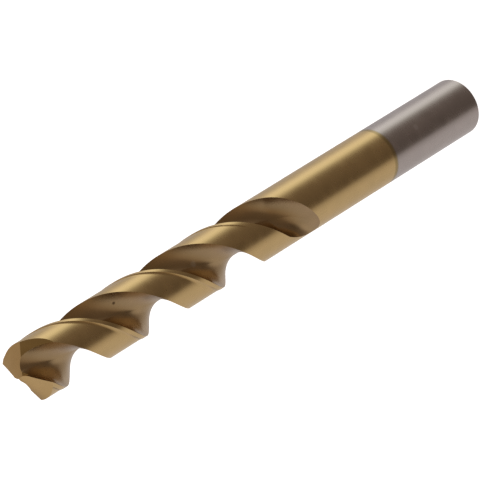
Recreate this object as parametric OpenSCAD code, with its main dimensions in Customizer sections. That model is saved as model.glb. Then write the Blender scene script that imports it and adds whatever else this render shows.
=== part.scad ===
// Twist drill for metal, straight shank, two right-hand flutes, split point.
// The flat end of the shank stands at z = 0 and the point is at the top.
// The first cutting lip ends at the +X side of the point.

/* [Blank] */
// Diameter over the margins and of the shank
drill_d = 13; // [8:0.5:18]
// Length from the flat shank end to the chisel edge
overall_length = 151; // [130:1:200]
// Bevel at the shank end
end_chamfer = 0.6; // [0.2:0.1:1.5]

/* [Flutes] */
// Length from the chisel edge to the far end of the flutes
flute_length = 92.2; // [70:1:110]
// Advance of the flutes in one full turn
lead = 51.5; // [40:0.5:90]
// Angle of each land, seen along the axis at the point
land_angle = 81.5; // [60:0.5:100]
// Web thickness at the point
web_d = 2.3; // [1.4:0.1:3.4]
// Amount by which the fluted end is slimmer at its shank side, on the radius
back_taper = 0.02; // [0.01:0.005:0.05]
// Growth of the web thickness for each mm from the point
web_growth = 0.022; // [0:0.001:0.04]
// Hook of the cutting face, 1 gives a straight lip
face_hook = 1.2; // [0.8:0.05:1.8]
// Angle between the heel wall and the radius at the heel
heel_lean = 15; // [5:1:45]
// Length over which the bottom of each flute rises to the surface of the blank
runout_length = 11.5; // [8:0.5:16]

/* [Margins] */
// Width of the margin behind each leading edge
margin_w = 1; // [0.5:0.1:2]
// Depth of the body clearance behind the margins
clearance_depth = 0.15; // [0.1:0.05:0.5]
// Length from the chisel edge over which the body clearance is full
clearance_length = 61; // [40:1:65]
// Length over which the body clearance fades out
clearance_fade = 9; // [4:1:12]

/* [Point] */
// Full angle of the point
point_angle = 136; // [118:1:140]
// Clearance angle behind each lip
lip_relief = 7.4; // [6:0.2:14]
// Distance of the notch from the axis at the chisel edge
notch_offset = 0.65; // [0.5:0.05:1.2]
// Direction that the notch faces, seen along the axis from the lip's outer corner
notch_turn = 52; // [44:1:60]
// Angle between the notch and the axis
notch_slope = 37; // [25:1:45]
// Share of the web that the notch leaves at the chisel edge
notch_rest = 0.4; // [0.3:0.05:0.9]

/* [Hidden] */
$fn = 120;

drill_r = drill_d / 2;
web_r = web_d / 2;
half_point = point_angle / 2;
turn_per_mm = 360 / lead;
heel_angle = 180 - land_angle;
margin_angle = margin_w / drill_r * 180 / PI;

// Overlap that keeps every cut clear of the surface it passes through
spare = 3;

// The lip runs parallel to a radius, web_r ahead of it
lip_turn = asin(web_r / drill_r);
lip_corner_x = drill_r * cos(lip_turn);

// Each flank is a cone that holds its lip and tilts down behind it
cone_setback = 2;
cone_h = (drill_r + cone_setback + spare) / tan(half_point) + spare;
cone_axis = [
    sin(half_point) * cos(half_point) * (1 - cos(lip_relief)),
    sin(half_point) * sin(lip_relief),
    -cos(lip_relief) - pow(cos(half_point), 2) * (1 - cos(lip_relief))
];
centre_from_apex = [cone_setback, -web_r, 0];

// Angle in plan between the lip and the notch wall that follows it
notch_swing = 20;

// Depth of the flank below the cone's apex, on the drill's axis
function cone_drop(along, across2, down, c) =
    let (
        a = down * down - c * c,
        b = 2 * along * down,
        k = along * along - across2 * c * c
    )
    (-b + sqrt(b * b - 4 * a * k)) / (2 * a);

chisel_drop = cone_drop(
    centre_from_apex * cone_axis,
    centre_from_apex * centre_from_apex,
    -cone_axis[2],
    cos(half_point)
);
apex_z = overall_length + chisel_drop;
corner_z = apex_z - (lip_corner_x + cone_setback) / tan(half_point);

// Where each flute has run out, and where its bottom begins to rise
runout_z = overall_length - flute_length;
rise_z = runout_z + runout_length;

// The rise goes outwards in this direction from the leading edge, faster towards the shank
rise_way = 60;
rise_power = 1.1;

// The plain shank ends this far short of the flutes
shank_gap = 0.3;
shank_top = runout_z - shank_gap;

// Steps of the swept flute
ring_gap = 1.75;
face_steps = 11;
web_steps = 3;
heel_steps = 10;
rim_steps = 4;
rim_gap = 1.2;
rim_r = drill_r + rim_gap;
wall_reach = 1.12;
wall_exit = 0.12;
face_spread = 1.3;
web_flat = 6;
web_pull = 0.21;
heel_pull = 0.55;

function polar(r, a) = [r * cos(a), r * sin(a)];

// Radius of the web at height z
function web_at(z) = web_r + web_growth / 2 * (corner_z - z);

function chord(r, w) = sqrt(max(r * r - w * w, 0));

// Angle of the cutting face at radius r, zero at the leading edge
function face_angle(r, w) =
    asin(min(w / r, 1)) - asin(w / drill_r)
    - face_hook * turn_per_mm * (chord(drill_r, w) - chord(r, w)) / tan(half_point);

function face_curve(w) = [
    for (i = [0 : face_steps])
        let (r = w + (drill_r * wall_reach - w) * pow(1 - i / face_steps, face_spread))
        polar(r, face_angle(r, w))
];

function web_curve(w) = [
    for (i = [1 : web_steps - 1]) polar(w, face_angle(w, w) + web_flat * i / web_steps)
];

heel_point = polar(drill_r, heel_angle);
heel_way = polar(1, heel_angle - heel_lean);
heel_exit = heel_point + heel_way * drill_r * wall_exit;

function bezier(a, b, c, d, t) =
    pow(1 - t, 3) * a + 3 * pow(1 - t, 2) * t * b + 3 * (1 - t) * t * t * c + t * t * t * d;

function heel_curve(w) =
    let (
        web_end = face_angle(w, w) + web_flat,
        web_point = polar(w, web_end),
        span = norm(heel_point - web_point),
        web_bend = web_point + polar(web_pull * span, web_end + 90),
        heel_bend = heel_point - heel_way * heel_pull * span
    )
    [for (i = [0 : heel_steps]) bezier(web_point, web_bend, heel_bend, heel_point, i / heel_steps)];

// Wall of one flute at height z, from the cutting face round to the heel
function wall_at(z) =
    let (w = web_at(z))
    concat(face_curve(w), web_curve(w), heel_curve(w), [heel_exit]);

// How far the flute has risen out of the blank at height z
function rise(z) =
    polar((drill_r - web_at(runout_z)) * pow(max(rise_z - z, 0) / runout_length, rise_power), rise_way);

function turned(p, a) = [p[0] * cos(a) - p[1] * sin(a), p[0] * sin(a) + p[1] * cos(a)];

// The loop that is cut out at height z: the wall, then an arc outside the blank
function rim_at(wall) =
    let (
        first = wall[len(wall) - 1],
        last = wall[0],
        a = atan2(first[1], first[0]),
        b = atan2(last[1], last[0])
    )
    [for (i = [1 : rim_steps]) polar(rim_r, a + (b - a) * i / (rim_steps + 1))];

function flute_ring(z) =
    let (wall = wall_at(z), twist = turn_per_mm * (z - corner_z))
    [for (p = concat(wall, rim_at(wall))) concat(turned(p + rise(z), twist), z)];

// Body clearance: from inside the flute to the margin, sloping up to it and at its shank end
clearance_start = overall_length - clearance_length - clearance_fade;
clearance_gap = 2.5;
clearance_steps = 12;
clearance_lift = 0.1;
heel_overlap = 20;

function clearance_r(z) =
    drill_r - clearance_depth * min(1, max(-clearance_lift, (z - clearance_start) / clearance_fade));

function clearance_ring(z) =
    let (
        twist = turn_per_mm * (z - corner_z),
        a = heel_angle - heel_overlap + twist,
        b = 180 - margin_angle + twist
    )
    concat(
        [for (i = [0 : rim_steps]) concat(polar(rim_r, b + (a - b) * i / rim_steps), z)],
        [
            for (i = [0 : clearance_steps])
                let (r = i < clearance_steps ? clearance_r(z) : drill_r + clearance_lift * clearance_depth)
                concat(polar(r, a + (b - a) * i / clearance_steps), z)
        ]
    );

// Heights of the rings, evenly spaced from one end to the other
function heights(low, high, gap) =
    let (n = ceil((high - low) / gap))
    [for (i = [0 : n]) low + (high - low) * i / n];

// A closed solid through rings of equally many points
module skin(rings) {
    n = len(rings[0]);
    last = (len(rings) - 1) * n;
    sides = [
        for (j = [0 : len(rings) - 2])
            for (i = [0 : n - 1])
                let (a = j * n + i, b = j * n + (i + 1) % n)
                each [[a, b, b + n], [a, b + n, a + n]]
    ];
    ends = [
        [for (i = [n - 1 : -1 : 0]) i],
        [for (i = [0 : n - 1]) last + i]
    ];
    polyhedron(points = [for (ring = rings) each ring], faces = concat(sides, ends), convexity = 10);
}

module flute() {
    skin([for (z = heights(runout_z - spare, overall_length + spare, ring_gap)) flute_ring(z)]);
}

module clearance() {
    skin([for (z = heights(clearance_start - spare, overall_length + spare, clearance_gap)) clearance_ring(z)]);
}

// What is ground away above one flank
module flank() {
    rotate(-lip_turn)
        difference() {
            translate([0, 0, overall_length - cone_h / 2])
                cylinder(r = rim_r + spare, h = cone_h);
            translate([-cone_setback, web_r, apex_z])
                rotate(a = lip_relief, v = [sin(half_point), 0, -cos(half_point)])
                    translate([0, 0, -cone_h])
                        cylinder(r1 = cone_h * tan(half_point), r2 = 0, h = cone_h);
        }
}

// Notch that splits the point: one wall trims the heel, the other follows the lip
module notch() {
    intersection() {
        rotate(notch_turn)
            translate([notch_offset, 0, overall_length])
                rotate([0, -notch_slope, 0])
                    translate([0, -drill_d, -drill_d])
                        cube(2 * drill_d);
        rotate(notch_swing - lip_turn)
            translate([-drill_d, notch_rest * web_r, overall_length - drill_d])
                cube(2 * drill_d);
    }
}

// Bar of the fluted end, a little slimmer towards the shank
module fluted_blank() {
    translate([0, 0, shank_top])
        cylinder(r1 = drill_r - back_taper, r2 = drill_r, h = overall_length + spare - shank_top, $fn = 96);
}

// The fluted end with its point, brought to its exact height over the shank
module fluted_end() {
    translate([0, 0, shank_top])
        resize([0, 0, overall_length - shank_top])
            translate([0, 0, -shank_top])
                difference() {
                    fluted_blank();
                    for (side = [0, 180])
                        rotate(side) {
                            flute();
                            clearance();
                            flank();
                            notch();
                        }
                }
}

// Plain round shank with its end bevel
module shank() {
    cylinder(r1 = drill_r - end_chamfer, r2 = drill_r, h = end_chamfer);
    translate([0, 0, end_chamfer])
        cylinder(r = drill_r, h = shank_top - end_chamfer);
}

module drill_bit() {
    color("goldenrod") {
        shank();
        fluted_end();
    }
}

drill_bit();
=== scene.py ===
import math

import bpy
from mathutils import Matrix, Vector


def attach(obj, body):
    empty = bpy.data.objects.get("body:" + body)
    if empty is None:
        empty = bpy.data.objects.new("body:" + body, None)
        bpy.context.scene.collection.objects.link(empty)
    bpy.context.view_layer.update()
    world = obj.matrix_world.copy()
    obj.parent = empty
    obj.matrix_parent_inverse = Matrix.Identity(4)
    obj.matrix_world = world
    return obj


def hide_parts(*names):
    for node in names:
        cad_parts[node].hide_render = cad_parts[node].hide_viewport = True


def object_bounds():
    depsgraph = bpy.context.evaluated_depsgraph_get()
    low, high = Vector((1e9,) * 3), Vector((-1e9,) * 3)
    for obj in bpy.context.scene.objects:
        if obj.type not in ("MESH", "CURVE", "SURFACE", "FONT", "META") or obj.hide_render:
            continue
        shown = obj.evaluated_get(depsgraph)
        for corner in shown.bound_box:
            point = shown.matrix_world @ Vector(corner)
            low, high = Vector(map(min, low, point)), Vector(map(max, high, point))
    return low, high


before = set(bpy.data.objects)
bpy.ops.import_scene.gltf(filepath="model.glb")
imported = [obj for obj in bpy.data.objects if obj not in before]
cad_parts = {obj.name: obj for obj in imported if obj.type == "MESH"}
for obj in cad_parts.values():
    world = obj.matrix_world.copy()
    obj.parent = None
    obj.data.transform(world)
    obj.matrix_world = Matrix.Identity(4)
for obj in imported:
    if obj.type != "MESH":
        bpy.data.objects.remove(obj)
cad_low, cad_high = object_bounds()


# The drill

# A jobber twist drill: one bar of high-speed steel, cylindrically ground, with two flutes, the body
# clearance behind the margins, two conical flanks and the notches of the split point ground into it.
# Sizes are in mm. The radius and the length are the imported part's.
mm = 0.001
drill_r = round(cad_high.x / mm, 2)
length = round(cad_high.z / mm, 2)
flute_length = 92.2
lead = 51.5
turn = 2 * math.pi / lead
shank_gap = 0.3
runout_z = length - flute_length
shank_top = runout_z - shank_gap


def put(name, data):
    """A new object in the scene that holds the data."""
    thing = bpy.data.objects.new(name, data)
    bpy.context.scene.collection.objects.link(thing)
    return thing


# Each ground surface has a number: 0 the bar, 1 a flute, 2 the clearance, 3 a flank, 4 a notch.
def mesh_object(name, points, faces, surface, normals=None):
    """A mesh in metres from points in mm, which keeps its true normals and the number of its surface."""
    mesh = bpy.data.meshes.new(name)
    mesh.from_pydata([Vector(p) * mm for p in points], [], faces)
    mesh.shade_smooth()
    kind = mesh.attributes.new("surface", "FLOAT", "FACE")
    kind.data.foreach_set("value", [surface] * len(faces))
    true = mesh.attributes.new("true_normal", "FLOAT_VECTOR", "CORNER")
    for polygon in mesh.polygons:
        for loop, vertex in zip(polygon.loop_indices, polygon.vertices):
            n = normals(Vector(points[vertex]), polygon) if normals else polygon.normal
            true.data[loop].vector = n
    return put(name, mesh)


def skin(name, rings, surface, normals=None):
    """A closed skin through rings of equally many points, lowest first, each clockwise from above."""
    n = len(rings[0])
    faces = []
    for j in range(len(rings) - 1):
        for i in range(n):
            a, b = j * n + i, j * n + (i + 1) % n
            faces.append((a, a + n, b + n, b))
    last = (len(rings) - 1) * n
    faces.append(tuple(range(n)))
    faces.append(tuple(last + i for i in reversed(range(n))))
    return mesh_object(name, [p for ring in rings for p in ring], faces, surface, normals)


def spread(low, high, steps):
    """Evenly spaced values from low to high, both of them included."""
    return [low + (high - low) * i / steps for i in range(steps + 1)]


def circle(r, z, sides):
    """Points round the axis at height z, clockwise from above."""
    angles = [-2 * math.pi * i / sides for i in range(sides)]
    return [(r * math.cos(a), r * math.sin(a), z) for a in angles]


# The bar is turned: bevel, shank, and the fluted end, which is a little slimmer towards the shank. Some
# stock is left on it above the point.
bevel = 0.6
back_taper = 0.02
stock_left = 1.0
round_sides = 240
end_face = 0.99
profile = [
    (drill_r - bevel, 0.0),
    (drill_r, bevel),
    (drill_r, shank_top),
    (drill_r - back_taper, runout_z),
    (drill_r, length + stock_left),
]


def bar_normal(p, polygon):
    """Flat on the end faces, 45 degrees down on the bevel, and square to the axis elsewhere."""
    if abs(polygon.normal.z) > end_face:
        return polygon.normal
    tilt = -math.sqrt(0.5) if polygon.center.z < bevel * mm else 0.0
    flat = Vector((p.x, p.y, 0)).normalized() * math.sqrt(1 - tilt * tilt)
    return Vector((flat.x, flat.y, tilt))


bar = skin("bar", [circle(r, z, round_sides) for r, z in profile], 0.0, bar_normal)

# Each flank of the point is part of a cone that holds its lip. The cone's apex is set back past the axis, and
# it is tilted down behind the lip. The chisel edge, where the flanks meet, stands at the drill's length.
web_r = 1.15
half_point = math.radians(68)
lip_turn = math.asin(web_r / drill_r)
lip_relief = math.radians(7.4)
cone_setback = 2
cone_tilt = Matrix.Rotation(lip_relief, 4, Vector((math.sin(half_point), 0, -math.cos(half_point))))


def drop_to_cone(across, way):
    """Depth below the apex at which a cone along way meets the upright line that passes it at across."""
    narrow = math.cos(half_point) ** 2
    along, down = across.dot(way), -way.z
    a, b, c = down**2 - narrow, along * down, along**2 - narrow * across.length_squared
    return (math.sqrt(b * b - a * c) - b) / a


# The apex and the lips' outer corners, rounded to a micrometre.
chisel_drop = drop_to_cone(Vector((cone_setback, -web_r, 0)), cone_tilt @ Vector((0, 0, -1)))
apex_z = round(length + chisel_drop, 3)
corner_z = round(apex_z - (drill_r * math.cos(lip_turn) + cone_setback) / math.tan(half_point), 3)

# One flute is a wheel-ground gullet: a slightly hooked cutting face, a thin web and a heel wall. The cutters
# start straight and are twisted by the tree below; they run past what they cut by a few mm.
web_growth = 0.011
land_angle = 81.5
heel_angle = math.radians(180 - land_angle)
face_hook = 1.2
heel_lean = math.radians(15)
web_pull, heel_pull = 0.21, 0.55
web_flat = math.radians(6)
wall_reach, wall_exit = 1.12, 0.12
face_spread = 1.3
face_steps, web_steps, heel_steps, rim_steps = 22, 4, 22, 9
rim_gap = 1.2
rim_r = drill_r + rim_gap
spare = 3


def polar(r, a):
    """A point in the plane at radius r and angle a."""
    return Vector((r * math.cos(a), r * math.sin(a)))


def flute_wall(z):
    """The wall at height z from the cutting face round to the heel, with its leading edge at angle 0."""
    w = web_r + web_growth * (corner_z - z)
    edge = math.sqrt(drill_r**2 - w * w)

    def face_angle(r):
        hook = face_hook * turn * (edge - math.sqrt(max(r * r - w * w, 0))) / math.tan(half_point)
        return math.asin(min(w / r, 1)) - math.asin(w / drill_r) - hook

    wall = []
    for i in range(face_steps + 1):
        r = w + (drill_r * wall_reach - w) * (1 - i / face_steps) ** face_spread
        wall.append(polar(r, face_angle(r)))
    foot = face_angle(w)
    wall += [polar(w, foot + web_flat * i / web_steps) for i in range(1, web_steps)]
    web_point = polar(w, foot + web_flat)
    heel_point = polar(drill_r, heel_angle)
    heel_way = polar(1, heel_angle - heel_lean)
    span = (heel_point - web_point).length
    web_bend = web_point + polar(web_pull * span, foot + web_flat + math.pi / 2)
    heel_bend = heel_point - heel_way * heel_pull * span
    for i in range(heel_steps + 1):
        t = i / heel_steps
        p = web_point * (1 - t) ** 3 + web_bend * 3 * t * (1 - t) ** 2
        wall.append(p + heel_bend * 3 * t * t * (1 - t) + heel_point * t**3)
    return wall + [heel_point + heel_way * drill_r * wall_exit]


# At its shank end the wheel lifts away, so each flute rises out of the bar and ends in a rounded run-out.
runout_length = 11.5
rise_power, rise_way = 1.1, math.radians(60)
flute_rings = 240
depth = drill_r - web_r - web_growth * (corner_z - runout_z)
rings = []
for z in spread(runout_z - spare, length + spare, flute_rings):
    wall = flute_wall(z)
    heel_end, face_end = (math.atan2(p.y, p.x) for p in (wall[-1], wall[0]))
    wall += [polar(rim_r, a) for a in spread(heel_end, face_end, rim_steps)[1:-1]]
    lifted = max(runout_z + runout_length - z, 0) / runout_length
    rise = polar(depth * lifted**rise_power, rise_way)
    rings.append([(p.x + rise.x, p.y + rise.y, z) for p in wall])
flute = skin("flute", rings, 1.0)

# Body clearance: a shallow relief from the heel to the margin, which slopes up to the margin over the last
# twelfth of its arc and fades out towards the shank.
margin_w = 1.0
clearance_depth, clearance_length, clearance_fade = 0.15, 61.0, 9.0
clearance_start = length - clearance_length - clearance_fade
clearance_lift = 0.1
clearance_rings, clearance_steps = 160, 36
heel_overlap = math.radians(20)
heel_side, margin_side = heel_angle - heel_overlap, math.pi - margin_w / drill_r
slope_share = 1 / 12
slope_start = margin_side - (margin_side - heel_side) * slope_share
rings = []
for z in spread(clearance_start - spare, length + spare, clearance_rings):
    r = drill_r - clearance_depth * min(1, max(-clearance_lift, (z - clearance_start) / clearance_fade))
    ring = [(*polar(rim_r, a), z) for a in spread(margin_side, heel_side, rim_steps)]
    ring += [(*polar(r, a), z) for a in spread(heel_side, slope_start, clearance_steps)]
    ring.append((*polar(drill_r + clearance_lift * clearance_depth, margin_side), z))
    rings.append(ring)
clearance = skin("clearance", rings, 2.0)

# The cone is cut out of a round stock, and what is left of the stock grinds the flank.
cone_h = round((drill_r + cone_setback + spare) / math.tan(half_point) + spare, 3)
stock_r, stock_sides = 9, 48
stock_rings = [circle(stock_r, length + h, stock_sides) for h in (-cone_h / 2, cone_h / 2)]
flank_stock = skin("flank_stock", stock_rings, 3.0)
on_lip = Matrix.Rotation(-lip_turn, 4, "Z")
cone_place = on_lip @ Matrix.Translation((-cone_setback, web_r, apex_z)) @ cone_tilt
cone_axis = (cone_place.to_3x3() @ Vector((0, 0, 1))).normalized()
cone_apex = cone_place @ Vector((0, 0, 0))
near_apex = 0.01


def cone_normal(p, polygon):
    """Square to the cone's side; the apex takes the direction of each face's middle."""
    if abs(polygon.normal.dot(cone_axis)) > end_face:
        return polygon.normal
    at = p - cone_apex
    if at.length < near_apex:
        at = polygon.center / mm - cone_apex
    out = (at - cone_axis * at.dot(cone_axis)).normalized()
    return out * math.cos(half_point) + cone_axis * math.sin(half_point)


base = [cone_place @ Vector(p) for p in circle(cone_h * math.tan(half_point), -cone_h, round_sides)]
sides = [(i, round_sides, (i + 1) % round_sides) for i in range(round_sides)]
bottom = tuple(range(round_sides))
flank_cone = mesh_object("flank_cone", base + [cone_apex], sides + [bottom], 3.0, cone_normal)

# The notch that splits the point: one wall trims the heel, the other follows the next lip.
notch_offset, notch_rest = 0.65, 0.4
notch_turn, notch_slope, notch_swing = (math.radians(a) for a in (52, 37, 20))
block = 4 * drill_r


def brick(name, low, place):
    """A block for the notch with one corner at low, moved by a matrix."""
    corners = [(x, y, z) for z in (0, 1) for x, y in ((0, 0), (0, 1), (1, 1), (1, 0))]
    points = [place @ (Vector(low) + Vector(c) * block) for c in corners]
    return skin(name, [points[:4], points[4:]], 4.0)


heel_trim = brick(
    "heel_trim",
    (0, -block / 2, -block / 2),
    Matrix.Rotation(notch_turn, 4, "Z")
    @ Matrix.Translation((notch_offset, 0, length))
    @ Matrix.Rotation(-notch_slope, 4, "Y"),
)
lip_trim = brick(
    "lip_trim",
    (-block / 2, notch_rest * web_r, length - block / 2),
    on_lip @ Matrix.Rotation(notch_swing, 4, "Z"),
)

# The tree twists the straight cutters along the lead, repeats them for the second flute and grinds the bar.
steel = bpy.data.materials.new("coated_ground_high_speed_steel")
steel.use_nodes = True
tree = bpy.data.node_groups.new("grind_twist_drill", "GeometryNodeTree")
tree_inputs = {
    "Bar": ("Object", bar),
    "Flute": ("Object", flute),
    "Clearance": ("Object", clearance),
    "Flank stock": ("Object", flank_stock),
    "Flank cone": ("Object", flank_cone),
    "Heel trim": ("Object", heel_trim),
    "Lip trim": ("Object", lip_trim),
    "Lead": ("Float", lead * mm),
    "Corner height": ("Float", corner_z * mm),
    "Flute spacing": ("Float", math.pi),
    "Steel": ("Material", steel),
}
for name, (kind, value) in tree_inputs.items():
    tree.interface.new_socket(name, in_out="INPUT", socket_type="NodeSocket" + kind)
tree.interface.new_socket("Drill", in_out="OUTPUT", socket_type="NodeSocketGeometry")


def add(tree, kind, inputs=(), **settings):
    """One node with its settings; an input is a value, the socket it comes from, or a list of sockets."""
    made = tree.nodes.new(kind)
    for key, value in settings.items():
        setattr(made, key, value)
    for key, value in dict(inputs).items():
        for source in value if isinstance(value, list) else [value]:
            if isinstance(source, bpy.types.NodeSocket):
                tree.links.new(source, made.inputs[key])
            else:
                made.inputs[key].default_value = source
    return made


given = add(tree, "NodeGroupInput").outputs
shape = {
    name: add(tree, "GeometryNodeObjectInfo", {0: given[name]}).outputs["Geometry"]
    for name, (kind, value) in tree_inputs.items()
    if kind == "Object"
}
position = add(tree, "GeometryNodeInputPosition").outputs[0]
height = add(tree, "ShaderNodeSeparateXYZ", {0: position}).outputs["Z"]
over = add(tree, "ShaderNodeMath", {0: height, 1: given["Corner height"]}, operation="SUBTRACT").outputs[0]
turns = add(tree, "ShaderNodeMath", {0: over, 1: given["Lead"]}, operation="DIVIDE").outputs[0]
angle = add(tree, "ShaderNodeMath", {0: turns, 1: 2 * math.pi}, operation="MULTIPLY").outputs[0]
twisted = add(
    tree, "ShaderNodeVectorRotate", {"Vector": position, "Angle": angle}, rotation_type="Z_AXIS"
).outputs[0]
on_corners = {"data_type": "FLOAT_VECTOR", "domain": "CORNER"}
for name in ("Flute", "Clearance"):
    moved = add(tree, "GeometryNodeSetPosition", {"Geometry": shape[name], "Position": twisted}).outputs[0]
    normal = add(tree, "GeometryNodeInputNormal").outputs[0]
    stored = {"Geometry": moved, "Name": "true_normal", "Value": normal}
    shape[name] = add(tree, "GeometryNodeStoreNamedAttribute", stored, **on_corners).outputs[0]

# A flank's waste is the stock without the cone, and a notch's waste is what both of its blocks hold.
taking_away = {"operation": "DIFFERENCE", "solver": "MANIFOLD"}
in_both = {"operation": "INTERSECT", "solver": "MANIFOLD"}
flank_parts = {0: shape["Flank stock"], 1: shape["Flank cone"]}
notch_parts = {1: [shape["Heel trim"], shape["Lip trim"]]}
ground = [
    shape["Flute"],
    shape["Clearance"],
    add(tree, "GeometryNodeMeshBoolean", flank_parts, **taking_away).outputs[0],
    add(tree, "GeometryNodeMeshBoolean", notch_parts, **in_both).outputs[0],
]
half_turn = add(tree, "ShaderNodeCombineXYZ", {"Z": given["Flute spacing"]}).outputs[0]
kept = add(
    tree, "GeometryNodeInputNamedAttribute", {"Name": "true_normal"}, data_type="FLOAT_VECTOR"
).outputs[0]
turned = add(
    tree, "ShaderNodeVectorRotate", {"Vector": kept, "Angle": given["Flute spacing"]}, rotation_type="Z_AXIS"
).outputs[0]
opposite = []
for cutter in ground:
    moved = add(tree, "GeometryNodeTransform", {"Geometry": cutter, "Rotation": half_turn}).outputs[0]
    stored = {"Geometry": moved, "Name": "true_normal", "Value": turned}
    opposite.append(add(tree, "GeometryNodeStoreNamedAttribute", stored, **on_corners).outputs[0])
bar_parts = {0: shape["Bar"], 1: [*ground, *opposite]}
drill_shape = add(tree, "GeometryNodeMeshBoolean", bar_parts, **taking_away).outputs[0]
real = add(tree, "GeometryNodeRealizeInstances", {0: drill_shape}).outputs[0]
finished = add(tree, "GeometryNodeSetMaterial", {"Geometry": real, "Material": given["Steel"]}).outputs[0]
add(tree, "NodeGroupOutput", {"Drill": finished})

holder = put("drill_blank", bpy.data.meshes.new("drill_blank"))
grinding = holder.modifiers.new("grind", "NODES")
grinding.node_group = tree
for item in tree.interface.items_tree:
    if item.in_out == "INPUT":
        grinding[item.identifier] = tree_inputs[item.name][1]
drill_mesh = bpy.data.meshes.new_from_object(holder.evaluated_get(bpy.context.evaluated_depsgraph_get()))
holder.modifiers.remove(grinding)
for kind, value in tree_inputs.values():
    if kind == "Object":
        bpy.data.objects.remove(value)
bpy.data.objects.remove(holder)

# The smooth surfaces keep their true normals, and every ground edge stays sharp: a normal that leans far from
# its own face belongs to the surface beyond the edge.
same_surface = 0.8
true = drill_mesh.attributes["true_normal"].data
normals = [Vector((0, 0, 0))] * len(drill_mesh.loops)
for polygon in drill_mesh.polygons:
    for loop in polygon.loop_indices:
        n = Vector(true[loop].vector)
        if n.dot(polygon.normal) < 0:
            n = -n
        own = n.dot(polygon.normal) > same_surface
        normals[loop] = n.normalized() if own else polygon.normal.copy()
drill_mesh.attributes.remove(drill_mesh.attributes["true_normal"])
drill_mesh.normals_split_custom_set(normals)
drill = put("twist_drill", drill_mesh)
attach(drill, "root")
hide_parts("drill_bit")


# Titanium nitride on ground high-speed steel, bare at the shank end: a warm gold metal, satin from the
# grinding wheel, against grey steel with the same finish.
def linear(code):
    """The linear colour of an sRGB hex code."""
    parts = [int(code[i : i + 2], 16) / 255 for i in (1, 3, 5)]
    return (*(c / 12.92 if c <= 0.04045 else ((c + 0.055) / 1.055) ** 2.4 for c in parts), 1.0)


surface = steel.node_tree
surface.nodes.clear()
place = add(surface, "ShaderNodeTexCoord").outputs["Object"]
along = add(surface, "ShaderNodeSeparateXYZ", {0: place}).outputs["Z"]
ground_as = add(surface, "ShaderNodeAttribute", attribute_name="surface").outputs["Fac"]

# The bar is ground round its axis, so its marks are rings. They are 0.02 mm wide, 50 to each mm, and are
# drawn 0.6 mm wide to show.
rings_per_mm, marks_per_mm = 1.7, 0.06
ring_scale = (marks_per_mm / mm, marks_per_mm / mm, rings_per_mm / mm)
ring_place = add(surface, "ShaderNodeVectorMath", {0: place, 1: ring_scale}, operation="MULTIPLY").outputs[0]
ring_marks = add(
    surface, "ShaderNodeTexNoise", {"Vector": ring_place, "Scale": 1.0, "Detail": 2.0}
).outputs[0]

# The flutes are ground along the spiral: like marks, with the twist taken out, run down the flute. They are
# as fine as the rings and are drawn 0.7 mm wide.
lines_per_mm = 1.5
flute_scale = (lines_per_mm / mm, lines_per_mm / mm, marks_per_mm / mm)
untwist = add(surface, "ShaderNodeMath", {0: along, 1: -turn / mm}, operation="MULTIPLY").outputs[0]
straight = add(
    surface, "ShaderNodeVectorRotate", {"Vector": place, "Angle": untwist}, rotation_type="Z_AXIS"
).outputs[0]
flute_place = add(
    surface, "ShaderNodeVectorMath", {0: straight, 1: flute_scale}, operation="MULTIPLY"
).outputs[0]
flute_marks = add(
    surface, "ShaderNodeTexNoise", {"Vector": flute_place, "Scale": 1.0, "Detail": 2.0}
).outputs[0]
in_flute = add(surface, "ShaderNodeMath", {0: ground_as, 1: 1.0, 2: 0.3}, operation="COMPARE").outputs[0]
marks = add(
    surface, "ShaderNodeMix", {"Factor": in_flute, 2: ring_marks, 3: flute_marks}, data_type="FLOAT"
).outputs[0]
mark_depth = 0.0007 * mm
relief = add(surface, "ShaderNodeBump", {"Height": marks, "Distance": mark_depth, "Strength": 1.0}).outputs[0]

# The coating is a little uneven where the drill was held and handled, in patches some 3 mm wide.
patch_scale = 0.33 / mm
patches = add(
    surface, "ShaderNodeTexNoise", {"Vector": place, "Scale": patch_scale, "Detail": 3.0}
).outputs[0]
shade = add(
    surface,
    "ShaderNodeMapRange",
    {"Value": patches, "From Min": 0.3, "From Max": 0.7, "To Min": 0.95, "To Max": 1.05},
).outputs["Result"]

# The coating fades out over 0.8 mm at the end of the fixture that held the shank.
coating_start, coating_full = 30.9, 31.7
coated = add(
    surface,
    "ShaderNodeMapRange",
    {"Value": along, "From Min": coating_start * mm, "From Max": coating_full * mm},
    interpolation_type="SMOOTHSTEP",
).outputs["Result"]
colour = add(
    surface,
    "ShaderNodeMix",
    {"Factor": coated, 6: linear("#CBC3BD"), 7: linear("#E4C68B")},
    data_type="RGBA",
).outputs[2]

# The flutes are painted darker and browner than the lands: partly a thinner coating, as the vapour reaches
# them less well, and partly painted shade in their hollow.
colour = add(
    surface, "ShaderNodeMix", {"Factor": in_flute, 6: colour, 7: linear("#BEA378")}, data_type="RGBA"
).outputs[2]

# Where the coating begins it has a darker, olive edge.
edge_z = 31.6
off_edge = add(surface, "ShaderNodeMath", {0: along, 1: edge_z * mm}, operation="SUBTRACT").outputs[0]
off_edge = add(surface, "ShaderNodeMath", {0: off_edge}, operation="ABSOLUTE").outputs[0]
olive = add(
    surface,
    "ShaderNodeMapRange",
    {"Value": off_edge, "From Min": 0.2 * mm, "From Max": 0.9 * mm, "To Min": 0.55, "To Max": 0.0},
    interpolation_type="SMOOTHSTEP",
).outputs["Result"]
colour = add(
    surface, "ShaderNodeMix", {"Factor": olive, 6: colour, 7: linear("#8F8258")}, data_type="RGBA"
).outputs[2]

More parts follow.
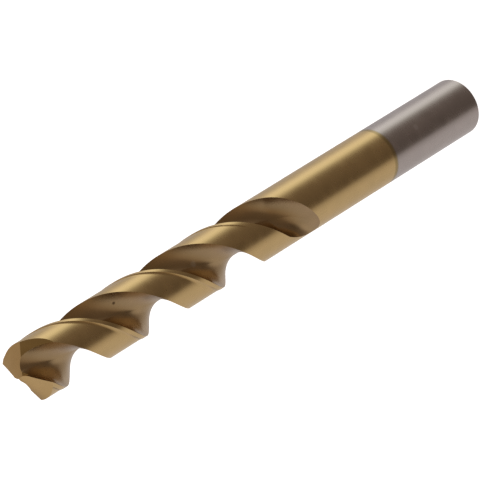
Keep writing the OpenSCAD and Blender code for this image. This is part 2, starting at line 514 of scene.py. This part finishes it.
# A dark speck and two pale rubs: place, radius, colour and strength of each.
for spot, radius, tone, strength in (
    ((0.04, 3.64, 121.12), 0.45, "#4A3420", 0.8),
    ((0.71, 1.9, 95.74), 0.9, "#E9DCC4", 0.35),
    ((4.45, 4.74, 21.6), 0.9, "#F0ECEA", 0.4),
):
    centre = tuple(c * mm for c in spot)
    away_from = add(surface, "ShaderNodeVectorMath", {0: place, 1: centre}, operation="DISTANCE")
    near = add(
        surface,
        "ShaderNodeMapRange",
        {
            "Value": away_from.outputs["Value"],
            "From Min": 0.4 * radius * mm,
            "From Max": radius * mm,
            "To Min": strength,
            "To Max": 0.0,
        },
        interpolation_type="SMOOTHSTEP",
    ).outputs["Result"]
    colour = add(
        surface, "ShaderNodeMix", {"Factor": near, 6: colour, 7: linear(tone)}, data_type="RGBA"
    ).outputs[2]
toned = add(surface, "ShaderNodeVectorMath", {0: colour, "Scale": shade}, operation="SCALE").outputs[0]
rough = add(
    surface,
    "ShaderNodeMapRange",
    {"Value": patches, "From Min": 0.3, "From Max": 0.7, "To Min": 0.24, "To Max": 0.3},
).outputs["Result"]
metal = add(
    surface,
    "ShaderNodeBsdfPrincipled",
    {"Base Color": toned, "Metallic": 1.0, "Roughness": rough, "Normal": relief},
).outputs[0]
add(surface, "ShaderNodeOutputMaterial", {"Surface": metal})


# The floor

# A shooting table under the drill: a sheet of white opal acrylic, lit evenly from below, so it stays white
# and takes no shadow.
table = 3
floor_mesh = bpy.data.meshes.new("floor")
floor_mesh.from_pydata(
    [(-table, -table, 0), (table, -table, 0), (table, table, 0), (-table, table, 0)], [], [(0, 1, 2, 3)]
)
floor = put("floor", floor_mesh)
acrylic = bpy.data.materials.new("lit_opal_acrylic")
acrylic.use_nodes = True
acrylic.node_tree.nodes.clear()
sheet = add(
    acrylic.node_tree,
    "ShaderNodeBsdfPrincipled",
    {
        "Base Color": linear("#F4F4F4"),
        "Roughness": 0.5,
        "Specular IOR Level": 0.0,
        "Emission Color": linear("#FFFFFF"),
        "Emission Strength": 1.0,
    },
).outputs[0]
add(acrylic.node_tree, "ShaderNodeOutputMaterial", {"Surface": sheet})
floor_mesh.materials.append(acrylic)
floor.visible_glossy = False
floor.visible_shadow = False
floor.visible_diffuse = False


# The light

# A soft studio all round the drill: a bright panel to one side, paler walls, and a dark warm gap behind the
# camera. Each ramp runs once round it: far below, lower down where the round bar mirrors, level, and above.
world = bpy.data.worlds.new("studio")
bpy.context.scene.world = world
world.use_nodes = True
studio = world.node_tree
studio.nodes.clear()
way = add(studio, "ShaderNodeTexCoord").outputs["Generated"]
east, north, upward = add(studio, "ShaderNodeSeparateXYZ", {0: way}).outputs
azimuth = add(studio, "ShaderNodeMath", {0: north, 1: east}, operation="ARCTAN2").outputs[0]
share = add(
    studio,
    "ShaderNodeMapRange",
    {"Value": azimuth, "From Min": -math.pi, "From Max": math.pi},
).outputs["Result"]

# Each stop is an azimuth in degrees, a level, and its green and blue as shares of that level.
far_below = [
    (-180, 0.46, 0.95, 0.97),
    (-125, 0.62, 0.95, 0.95),
    (-78, 0.44, 0.92, 0.88),
    (-46, 0.38, 0.88, 0.82),
    (-24, 0.25, 0.82, 0.74),
    (-5, 0.17, 0.80, 0.68),
    (20, 0.13, 0.79, 0.68),
    (60, 0.12, 0.80, 0.70),
    (90, 0.16, 0.84, 0.78),
    (125, 0.50, 0.97, 0.95),
]
lower_down = [
    (-180, 0.46, 0.95, 0.97),
    (-125, 0.56, 0.95, 0.95),
    (-110, 0.60, 0.95, 0.95),
    (-96, 0.52, 0.93, 0.92),
    (-60, 0.51, 0.93, 0.92),
    (-25, 0.545, 0.93, 0.93),
    (-8, 0.43, 0.91, 0.89),
    (3, 0.11, 0.80, 0.70),
    (20, 0.10, 0.79, 0.69),
    (52, 0.14, 0.79, 0.69),
    (78, 0.163, 0.80, 0.69),
    (92, 0.23, 0.86, 0.76),
    (103, 0.44, 0.94, 0.86),
    (114, 0.89, 1.0, 0.96),
    (125, 1.02, 0.99, 0.97),
    (137, 0.93, 0.98, 0.97),
    (151, 0.56, 0.95, 0.95),
    (164, 0.46, 0.95, 0.97),
]
level_with = [
    (-180, 0.36, 0.86, 0.82),
    (-140, 0.43, 0.88, 0.88),
    (-122, 0.29, 0.86, 0.86),
    (-102, 0.29, 0.88, 0.92),
    (-90, 0.49, 0.92, 1.00),
    (-60, 0.51, 0.93, 0.98),
    (-35, 0.47, 0.93, 0.96),
    (-10, 0.41, 0.88, 0.80),
    (8, 0.32, 0.80, 0.66),
    (20, 0.165, 0.76, 0.60),
    (60, 0.13, 0.76, 0.60),
    (125, 0.34, 0.84, 0.78),
]
above = [
    (-180, 0.34, 0.82, 0.74),
    (-140, 0.40, 0.85, 0.78),
    (-107, 0.50, 0.88, 0.82),
    (-76, 0.49, 0.93, 1.02),
    (-40, 0.43, 0.93, 0.97),
    (-20, 0.38, 0.91, 0.88),
    (0, 0.33, 0.79, 0.60),
    (13, 0.27, 0.72, 0.50),
    (30, 0.19, 0.72, 0.52),
    (63, 0.135, 0.74, 0.46),
    (90, 0.20, 0.80, 0.65),
    (125, 0.34, 0.82, 0.74),
]
ramps = []
for stops in (far_below, lower_down, level_with, above):
    ramp = add(studio, "ShaderNodeValToRGB", {0: share})
    elements = ramp.color_ramp.elements
    while len(elements) < len(stops):
        elements.new(0.5)
    for element, (degrees, level, green, blue) in zip(elements, stops):
        element.position = (degrees + 180) / 360
        element.color = (level, level * green, level * blue, 1)
    ramps.append(ramp.outputs[0])

# From each ramp to the next, over a band of the direction's height, -1 straight down and 1 straight up.
tones = ramps[0]
for ramp, start, end in ((ramps[1], -0.85, -0.74), (ramps[2], -0.62, -0.35), (ramps[3], 0.12, 0.3)):
    rising = add(
        studio,
        "ShaderNodeMapRange",
        {"Value": upward, "From Min": start, "From Max": end},
        interpolation_type="SMOOTHSTEP",
    ).outputs["Result"]
    tones = add(studio, "ShaderNodeMix", {"Factor": rising, 6: tones, 7: ramp}, data_type="RGBA").outputs[2]
glow = add(studio, "ShaderNodeBackground", {"Color": tones, "Strength": 1.0}).outputs[0]
add(studio, "ShaderNodeOutputWorld", {"Surface": glow})


# The camera

# A long lens from above, at the photograph's viewing angle, turned so that the point comes down to the
# lower left.
camera_data = bpy.data.cameras.new("camera")
camera = put("camera", camera_data)
bpy.context.scene.camera = camera
camera_azimuth, elevation, roll = (math.radians(a) for a in (39.751, 44.232, 211.883))
target_z, target_side, distance = 78.934, 0.142, 946.771
sensor, picture_px, focal_px = 36, 480, 4506.087
away = Vector((
    math.cos(elevation) * math.cos(camera_azimuth),
    math.cos(elevation) * math.sin(camera_azimuth),
    math.sin(elevation),
))
side = Vector((0, 0, 1)).cross(away).normalized()
target = Vector((0, 0, target_z)) + side * target_side
up = (Vector((0, 0, 1)) - away * away.z).normalized()
right = (-away).cross(up)
camera_up = up * math.sin(roll) - right * math.cos(roll)
camera_right = right * math.sin(roll) + up * math.cos(roll)
pose = Matrix((camera_right, camera_up, away)).transposed().to_4x4()
pose.translation = (target + away * distance) * mm
camera.matrix_world = pose
camera_data.sensor_width = sensor
camera_data.lens = sensor * focal_px / picture_px
camera_data.clip_start, camera_data.clip_end = 0.01, 20
bpy.context.scene.view_settings.view_transform = "Standard"
